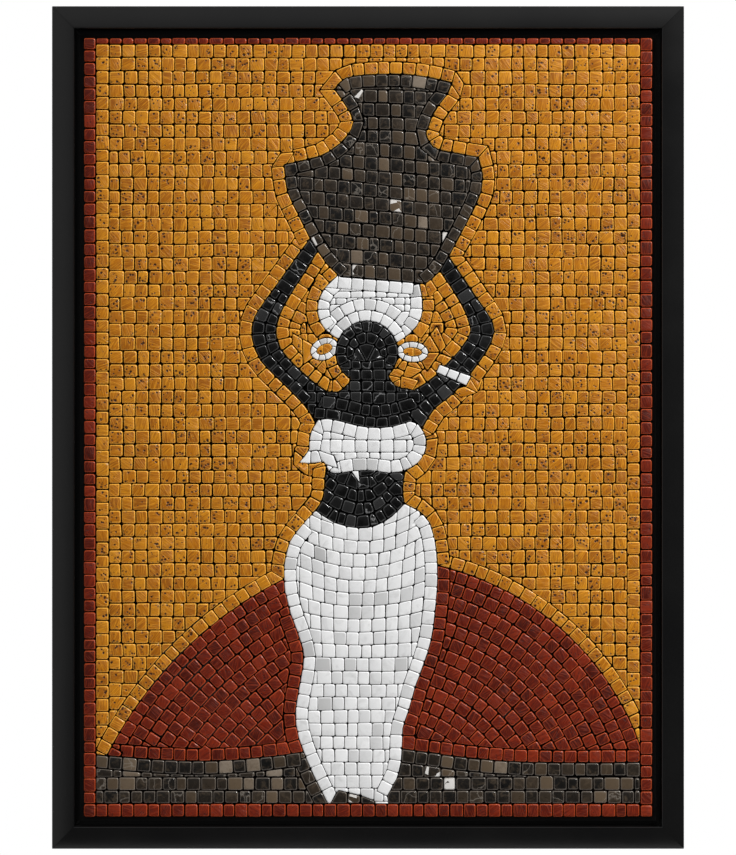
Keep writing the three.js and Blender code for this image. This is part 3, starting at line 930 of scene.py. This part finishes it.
# ---- Ochre field ----
# Yellow travertine, full of small pits and sawn faces. A row follows the figure, the jar and the hill, a
# column stands beside each border, and level courses fill the rest.
ochre_stone, tree, shader = blank_material("ochre_travertine")
chance, block = block_place(tree)
base = ramp(tree, chance["X"], [
    (0.0, (0.29, 0.087, 0.0012)), (0.3, (0.37, 0.119, 0.0014)), (0.65, (0.42, 0.139, 0.0018)),
    (1.0, (0.52, 0.205, 0.0070)),
])
veil = cloudy(tree, block, 130.0, 5.0, Roughness=0.6)
base = mix_colour(tree, ranged(tree, veil, 0.45, 0.8, 0.0, 0.8), base, (0.25, 0.074, 0.0015, 1))
pits = effect(tree, pitted, Vector=block, Scale=350.0, Amount=0.5)
dull = effect(tree, sawn, Vector=block, Pitch=1000.0)
base = tinted(tree, base, dull, 0.5, (0.20, 0.056, 0.0010, 1))
marks = effect(tree, sawn, Vector=block, Pitch=1500.0)
base = tinted(tree, base, marks, 0.62, (0.70, 0.285, 0.012, 1))
base = mix_colour(tree, pits, base, (0.028, 0.008, 0.001, 1))
edge = effect(tree, wear_and_highlight, Vector=block, Width=0.4, Break=1.0)
# Bright yellow rims on the arris: partly wear, partly a painted highlight.
base = tinted(tree, base, edge, 0.6, (0.90, 0.46, 0.06, 1))
rough = burnished(tree, veil, 0.34, 0.5, edge)
finished(tree, shader, base, rough, [(veil, 0.3), (pits, -0.55), (marks, 0.2)], 0.3)

INNER_X, INNER_TOP, INNER_BOTTOM = 220.0, 309.7, -304.0
COURSE = 10.7
SIDE_COLUMN = 10.6
WITHIN = 219.0  # just inside the border columns
SMALL_STONES = {"small": True, "joint": 0.5, "splinter": 3.0, "arris": 0.0006}  # as in the earrings


def wavy(x, z, k):
    """How far a course line strays from level."""
    return 0.8 * noise.noise(Vector((x / 34.0, z / 22.0, k)))


def level_courses(top, bottom, left, right, height=COURSE, width=STONE, salt=0.0, drift=1.3):
    """Level courses over a field, their upright joints drifting slowly from a common grid."""
    courses = []
    count = round((top - bottom) / height)
    columns = round((right - left) / width)
    spots = []
    for r in range(count + 1):
        row = []
        for c in range(columns + 1):
            x = left + (right - left) * c / columns
            z = top - (top - bottom) * r / count
            row.append((x, z + wavy(x, z, salt)))
        spots.append(row)
    for r in range(count):
        upper, lower = Guide(spots[r]), Guide(spots[r + 1])
        z = top - (top - bottom) * (r + 0.5) / count
        marks = []
        for c in range(columns + 1):
            x = (right - left) * c / columns
            slow = drift * noise.noise(Vector((x / 60.0, z / 15.0, salt + 5.0)))
            marks.append(x + slow * 2.6 + rng.uniform(-1.0, 1.0))
        for s, t in zip(marks, marks[1:]):
            lean = rng.uniform(-0.3, 0.3), rng.uniform(-0.3, 0.3)
            foot = [lower.at(s + lean[0]), lower.at(t + lean[1])]
            courses.append(foot + [upper.at(t - lean[1]), upper.at(s - lean[0])])
    return courses


def inside_field(p):
    """True along the outlines of the figure, the jar and the hill."""
    return abs(p.x) < WITHIN and p.y < 308.5 and not (p.y < -263.0 and abs(p.x) > 200)


loops = area_outlines("field")
quads = edge_rows(loops, 9.9, inside_field, 10.2)
quads += row_along(Guide([(-INNER_X, INNER_TOP), (-INNER_X, INNER_BOTTOM)]), SIDE_COLUMN, 10.6, 0.05)
quads += row_along(Guide([(INNER_X, INNER_BOTTOM), (INNER_X, INNER_TOP)]), SIDE_COLUMN, 10.6, 0.05)
quads += level_courses(INNER_TOP, INNER_BOTTOM + 0.5, -INNER_X, INNER_X)
set_stones("field", "ochre_stone", ochre_stone, quads)

for side, sign in (("left", -1), ("right", 1)):
    node = f"field_between_{side}_arm_and_head"
    loops = area_outlines(node)

    def along_arm(p, sign=sign):
        """True along the inner side of the arm."""
        return p.x * sign > 44.0 and p.y > 33.0 or (p.x * sign > 28.0 and p.y < 45.0)

    def along_scarf(p, sign=sign):
        return p.x * sign < 47.0 and p.y > 77.0

    quads = edge_rows(loops, 9.6, along_arm, 9.8)
    quads += edge_rows(loops, 9.2, along_scarf, 9.6)
    quads += edge_rows(loops, 9.2, lambda p, sign=sign: p.x * sign < 28.0 and p.y < 56.0, 9.0)
    for guide, lead, tail, _ in edge_guides(loops, along_arm):
        quads += row_along(guide, 9.4, 9.6, 0.1, lead, tail, setback=9.6)
    quads += level_courses(150.0, 20.0, sign * 50.0 - 60.0, sign * 50.0 + 60.0, 9.4, 9.6, salt=2.0 + sign)
    set_stones(node, "ochre_stone", ochre_stone, quads, f"pocket_{side}_stones")
    node = f"field_in_{side}_earring"
    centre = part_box(node)
    split = (centre[0][0] + centre[1][0]) * 500 + sign
    halves = [[Vector(p) for p in ((x, 40), (x + 20, 40), (x + 20, 80), (x, 80))] for x in (split - 20, split)]
    set_stones(node, "ochre_stone", ochre_stone, halves, f"earring_{side}_eye_stones", **SMALL_STONES)


# ---- Red hill ----
# The same red limestone. Its courses are arcs inside its outline, with a column beside the skirt and a level
# row on the ground.
FLANKS = {
    "left": ((76.8, -411.0), 323.0, 156.0, 100.0),
    "right": ((6.0, -333.0), 227.0, 96.0, 8.0),
}
HILL_COURSE = 10.6
SMALLEST_ARC = 12
for side, (centre, radius, start, end) in FLANKS.items():
    node = f"hill_{side}"
    loops = area_outlines(node)

    def beside_skirt(p):
        return -63.5 < p.x < 56.5 and p.y > -260.5 and (p.y < -125 or p.x > 0)

    def ground_side(p):
        return -272.5 < p.y < -258.5 and abs(p.x) < WITHIN

    quads = edge_rows(loops, 9.8, beside_skirt, 10.2)
    quads += edge_rows(loops, 9.8, ground_side, 10.3)
    arcs = []
    for k in range(22):
        bow = radius + 0.6 - k * HILL_COURSE
        if bow < SMALLEST_ARC:
            break
        steps = max(4, round(bow * math.radians(start - end) / 8))
        angles = [math.radians(start + (end - start) * i / steps) for i in range(steps + 1)]
        arcs.append(Guide([(centre[0] + bow * math.cos(a), centre[1] + bow * math.sin(a)) for a in angles]))
    for outer, inner in zip(arcs, arcs[1:]):
        quads += [quad[::-1] for quad in course_between(outer, inner, STONE, 0.12, rng.uniform(-9.0, 0.0))]
    set_stones(node, "red_stone", red_stone, quads, joint=DARK_JOINT)


# ---- Dark ground and jar ----
# Brown marble of many shades, from near black to coffee, with a few pale and white-flecked stones. The
# ground's top row follows its rolling edge. The jar has a row round its rim, shoulders and sides.
brown_marble, tree, shader = blank_material("brown_marble")
chance, block = block_place(tree)
base = ramp(tree, chance["X"], [
    (0.0, (0.002, 0.0018, 0.0016)), (0.26, (0.005, 0.0041, 0.0032)), (0.52, (0.013, 0.0094, 0.0063)),
    (0.74, (0.027, 0.0190, 0.0120)), (0.89, (0.055, 0.037, 0.0215)), (0.96, (0.10, 0.070, 0.043)),
    (1.0, (0.21, 0.17, 0.13)),
])
figure = cloudy(tree, block, 190.0, 8.0, Roughness=0.72, Distortion=0.9)
base = mix_colour(tree, ranged(tree, figure, 0.5, 0.7, 0.0, 0.75), base, (0.080, 0.056, 0.034, 1))
thread = threads(tree, chance, block, 90.0, 0.012, 52.0, 0.022, 0.5)
base = mix_colour(tree, thread, base, (0.26, 0.23, 0.195, 1))
flecked = maths(tree, "GREATER_THAN", chance["Y"], 0.968)
chips = add(tree, "ShaderNodeTexVoronoi", {"feature": "F1"}, Vector=block, Scale=150.0).outputs["Color"]
fleck = maths(tree, "GREATER_THAN", add(tree, "ShaderNodeSeparateXYZ", Vector=chips).outputs["X"], 0.66)
base = mix_colour(tree, times(tree, fleck, flecked), base, (0.62, 0.6, 0.57, 1))
edge = effect(tree, wear_and_highlight, Vector=block, Width=0.4, Break=0.9)
# Paler brown rims on the arris: partly wear, partly a painted highlight.
base = tinted(tree, base, edge, 0.5, (0.17, 0.145, 0.12, 1))
rough = burnished(tree, figure, 0.25, 0.4, edge)
grit = cloudy(tree, block, 700.0, 3.0)
finished(tree, shader, base, rough, [(figure, 0.4), (grit, 0.08)], 0.4)

GROUND_COURSE = 10.7
for side in ("left", "right", "under_hem"):
    node = f"ground_{side}"
    loops = area_outlines(node)

    def rolling_edge(p):
        return p.y > -273.0 and (p.x < -57 or p.x > 27.3) and abs(p.x) < WITHIN

    def beside_hem(p):
        return -58.0 < p.x < -30.0 and p.y < -266.0 and p.y > -302.5

    quads = edge_rows(loops, 10.4, rolling_edge, 10.8) if side != "under_hem" else []
    quads += edge_rows(loops, 9.5, beside_hem, 10.0) if side == "left" else []
    for level in (0, 1):
        guide = Guide([(-INNER_X - 5 + 3.0 * level, INNER_BOTTOM), (INNER_X + 5, INNER_BOTTOM)])
        quads += row_along(guide, GROUND_COURSE, 10.9, 0.16, setback=GROUND_COURSE * level)
    guide = Guide([(-INNER_X, INNER_BOTTOM), (INNER_X, INNER_BOTTOM)])
    quads += row_along(guide, 20.0, 11.6, 0.2, setback=2 * GROUND_COURSE)
    set_stones(node, "brown_marble", brown_marble, quads, joint=DARK_JOINT)

JAR_BASE, JAR_NECK, JAR_TOP, JAR_AXIS = 119.5, 240.0, 284.0, 12.0
JAR_COURSES = 15
loops = area_outlines("jar")


def jar_side(p):
    return p.y > 121.5 or abs(p.x - JAR_AXIS) > 36


def jar_rim(p):
    return p.y > 276.5


quads = edge_rows(loops, 9.6, jar_rim, 10.3, corner=30.0)
quads += edge_rows(loops, 8.6, lambda p: jar_side(p) and not jar_rim(p), 10.2, corner=30.0)
lines = []
for k in range(JAR_COURSES + 1):
    z = JAR_BASE + (JAR_TOP - JAR_BASE) * k / JAR_COURSES
    slope = -0.035 - 0.065 * min(1.0, max(0.0, (JAR_NECK - z) / 30.0)) * min(1.0, 0.7 + (z - JAR_BASE) / 60.0)
    line = [(x, z + slope * (x - JAR_AXIS) + 1.4 * wavy(x, z, 3.0)) for x in range(-80, 105, 12)]
    lines.append(Guide(line))
for lower, upper in zip(lines, lines[1:]):
    quads += course_between(lower, upper, 10.3, 0.12, rng.uniform(-8.0, 0.0))
set_stones("jar", "brown_marble", brown_marble, quads, joint=DARK_JOINT)


# ---- The figure ----
# Near-black marble with thin grey threads. One row of stones runs up each forearm, and two where an arm is wider.
# The head is set in arcs, the neck in level courses and the back in bowed rows.
black_marble, tree, shader = blank_material("black_marble")
chance, block = block_place(tree)
base = ramp(tree, chance["X"], [
    (0.0, (0.0005, 0.0005, 0.0005)), (0.6, (0.0012, 0.0012, 0.0012)), (0.88, (0.0055, 0.0055, 0.0055)),
    (1.0, (0.030, 0.030, 0.030)),
])
figure = cloudy(tree, block, 150.0, 6.0, Roughness=0.65)
base = mix_colour(tree, ranged(tree, figure, 0.5, 0.75, 0.0, 0.6), base, (0.009, 0.009, 0.009, 1))
thread = threads(tree, chance, block, 80.0, 0.014, 40.0, 0.016, 0.55)
base = mix_colour(tree, thread, base, (0.34, 0.34, 0.34, 1))
edge = effect(tree, wear_and_highlight, Vector=block, Width=0.4, Break=0.9)
# Grey rims on the arris: partly wear, partly a painted highlight.
base = tinted(tree, base, edge, 0.3, (0.13, 0.13, 0.13, 1))
rough = burnished(tree, figure, 0.22, 0.36, edge)
finished(tree, shader, base, rough, [(figure, 0.14)], 0.4)

ARMS = {  # along each arm from the shoulder: across, up, and the arm's width
    "left": [
        (-32, 12, 28), (-41, 21.5, 21), (-52, 31.5, 17.5), (-65, 44, 17), (-79, 59, 18.5), (-84, 74, 20),
        (-83, 86, 19), (-75, 101, 15), (-63.5, 118.5, 13.3), (-54, 132.5, 12.3), (-43, 149, 11),
    ],
    "right": [
        (33, 10, 30), (46.5, 23.3, 21.5), (57, 30.5, 20), (67.5, 40.5, 20), (78.5, 53.5, 18.5),
        (88.5, 67, 18), (92.5, 78, 19.3), (89.5, 88, 17), (81.7, 101.8, 13), (74, 114, 12.7), (55, 142, 12),
    ],
}
ONE_ROW = 14.2  # an arm narrower than this takes a single row
HEAD = Vector((-1.0, 60.8))
HEAD_RADIUS = 25.4


def arm_rows(joints):
    """Stones up an arm, two side by side where it is wide."""
    middle_line = Guide([(x, z) for x, z, _ in joints])
    rows = []
    marks = cuts(middle_line.length, 9.6, 0.1)

    def half_width(s):
        i = max(i for i, reach in enumerate(middle_line.reach) if reach <= max(s, 0.0))
        if i >= len(joints) - 1:
            return joints[-1][2] / 2
        share = (s - middle_line.reach[i]) / (middle_line.reach[i + 1] - middle_line.reach[i])
        return (joints[i][2] * (1 - share) + joints[i + 1][2] * share) / 2

    for s, t in zip(marks, marks[1:]):
        a, b, na, nb = middle_line.at(s), middle_line.at(t), middle_line.left(s, 8), middle_line.left(t, 8)
        wa, wb = half_width(s) + 3, half_width(t) + 3
        if wa + wb - 6 < ONE_ROW:
            rows.append([a - na * wa, b - nb * wb, b + nb * wb, a + na * wa])
        else:
            off = rng.uniform(-0.7, 0.7)
            rows.append([a - na * wa, b - nb * wb, b + nb * off, a + na * off])
            rows.append([a + na * off, b + nb * off, b + nb * wb, a + na * wa])
    return rows


def ring(centre, inner, outer, count, start, sweep):
    """Part of a ring of stones, its start and sweep in degrees."""
    spokes = [math.radians(start + sweep * (i + rng.uniform(-0.08, 0.08)) / count) for i in range(count + 1)]
    quads = []
    for a, b in zip(spokes, spokes[1:]):
        va, vb = Vector((math.cos(a), math.sin(a))), Vector((math.cos(b), math.sin(b)))
        quads.append([centre + va * inner, centre + va * outer, centre + vb * outer, centre + vb * inner])
    return quads


bandeau_top = Guide([(46, 8), (34, 5), (22, 1), (8, -0.6), (-8, 1.2), (-22, 5), (-33, 7), (-44, 8)][::-1])
quads = [q for q in arm_rows(ARMS["left"]) if q[0].x < -40]
quads += [q for q in arm_rows(ARMS["right"]) if q[0].x > 44]
quads += row_along(bandeau_top, 9.6, 9.8, 0.12, setback=-1.0)
quads += row_along(bandeau_top, 10.0, 9.8, 0.14, lead=4.0, tail=4.0, setback=8.6)
quads += ring(HEAD, 16.6, HEAD_RADIUS + 1.0, 11, -28.0, 236.0)
quads += ring(HEAD - Vector((0.0, 4.0)), 11.4, 20.6, 6, 2.0, 176.0)
quads += ring(HEAD - Vector((0.0, 8.0)), 0.0, 15.4, 3, 10.0, 160.0)
quads += level_courses(56.4, -8.0, -50.0, 50.0, 9.6, 9.4, salt=9.0)
back = "head_shoulders_and_left_arm"
set_stones(back, "black_marble", black_marble, quads, "back_and_left_arm_stones", joint=DARK_JOINT)
set_stones("right_forearm", "black_marble", black_marble, arm_rows(ARMS["right"]), joint=DARK_JOINT)

WAIST = [
    (-46, -65), (-42.3, -67), (-29, -76.5), (-9.5, -81.5),
    (6, -79.5), (19.5, -71.8), (29.2, -61.6), (34, -57),
]
quads = []
for k in range(6):
    guide = Guide([(x, z + 10.0 * k + (abs(x) * 0.05 * k)) for x, z in WAIST])
    quads += row_along(guide, 10.4, 9.6, 0.2, lead=rng.uniform(2, 8), tail=4.0, setback=-0.4)
set_stones("midriff", "black_marble", black_marble, quads, joint=DARK_JOINT)


# ---- White cloth and trinkets ----
# White marble with faint grey clouds. The skirt's courses hang in bows between a row down each side. The
# earrings and the armlet are small stones.
white_marble, tree, shader = blank_material("white_marble")
chance, block = block_place(tree)
base = ramp(tree, chance["X"], [
    (0.0, (0.44, 0.438, 0.433)), (0.07, (0.58, 0.58, 0.578)), (0.28, (0.69, 0.69, 0.69)),
    (1.0, (0.76, 0.76, 0.757)),
])
figure = cloudy(tree, block, 85.0, 6.0, Roughness=0.6, Distortion=1.0)
base = mix_colour(tree, ranged(tree, figure, 0.5, 0.8, 0.0, 0.75), base, (0.46, 0.458, 0.452, 1))
edge = effect(tree, wear_and_highlight, Vector=block, Width=0.4, Break=0.7)
# Brighter white rims on the arris: partly wear, partly a painted highlight.
base = tinted(tree, base, edge, 0.5, (0.84, 0.84, 0.84, 1))
rough = burnished(tree, figure, 0.28, 0.42, edge)
# The white stones' painted shade in the joints is a mid grey rather than near black.
finished(tree, shader, base, rough, [(figure, 0.14)], 0.4, (0.22, 0.21, 0.2, 1))

WHITE_JOINT = 0.42
loops = area_outlines("head_scarf")
scarf_top = Guide([(48, 117.5), (41, 118), (-24, 123), (-34, 124)])
quads = [q for q in row_along(scarf_top, 10.8, 9.7, 0.08) if -26.0 < q[0].x < 46.0]
quads += edge_rows(loops, 9.2, lambda p: 78.0 < p.y < 118 and abs(p.x - 1.5) > 26, 9.6)
quads += ring(HEAD, HEAD_RADIUS - 1.0, HEAD_RADIUS + 8.8, 9, 14.0, 158.0)
quads += ring(HEAD, HEAD_RADIUS + 8.8, HEAD_RADIUS + 18.2, 10, 22.0, 140.0)
quads += level_courses(116.0, 60.0, -50.0, 50.0, 5.6, 9.0, salt=12.0, drift=2.5)
set_stones("head_scarf", "white_marble", white_marble, quads, joint=WHITE_JOINT)

for side in ("left", "right"):
    node = f"earring_{side}"
    outer = max(area_outlines(node), key=signed_area)
    quads = row_along(Guide(outer + [outer[0]]), 7.0, 7.0, 0.12)
    set_stones(node, "white_marble", white_marble, quads, **SMALL_STONES)

quads = row_along(Guide([(54, 45.6), (80.5, 33)]), 14.0, 9.4, 0.08)
set_stones("armlet", "white_marble", white_marble, quads, small=True)
tip_stone = {**SMALL_STONES, "joint": JOINT, "splinter": 1.0}
set_stones("cloth_end", "white_marble", white_marble, [], "cloth_end_stone", **tip_stone)

loops = area_outlines("bandeau")
quads = edge_rows(loops, 9.6, width=9.9, wander=0.12, corner=50.0)
quads += level_courses(10.0, -40.0, -60.0, 60.0, 10.0, 10.2, salt=15.0)
set_stones("bandeau", "white_marble", white_marble, quads, joint=WHITE_JOINT)

SKIRT_AXIS, SKIRT_HALF = -6.0, 80.0
SKIRT_COURSE = 10.5
FIRST_COURSE, SKIRT_COURSES = -71.0, 23
WAIST_LEVEL, KNEE = -67.0, -200.0


def skirt_line(z):
    """One bowed course line, flattening from the waist down to the knee."""
    bow = max(0.0, (z - KNEE) / (WAIST_LEVEL - KNEE)) * 24.0
    line = []
    for t in range(-10, 11):
        line.append((SKIRT_AXIS + SKIRT_HALF * t / 10, z + 2 * bow * (t / 10) ** 2 + wavy(t * 8, z, 21.0)))
    return Guide(line)


def skirt_side(p):
    return (p.x < -28.0 or p.x > 15.0) and -300.0 < p.y < -78.0 + 0.55 * (abs(p.x + 6.0) - 40.0)


loops = area_outlines("skirt")
quads = edge_rows(loops, 9.4, skirt_side, 10.2)
lines = [skirt_line(FIRST_COURSE - k * SKIRT_COURSE) for k in range(SKIRT_COURSES + 1)]
for upper, lower in zip(lines, lines[1:]):
    quads += course_between(lower, upper, 10.3, 0.1, rng.uniform(-8.0, 0.0))
set_stones("skirt", "white_marble", white_marble, quads, joint=WHITE_JOINT)
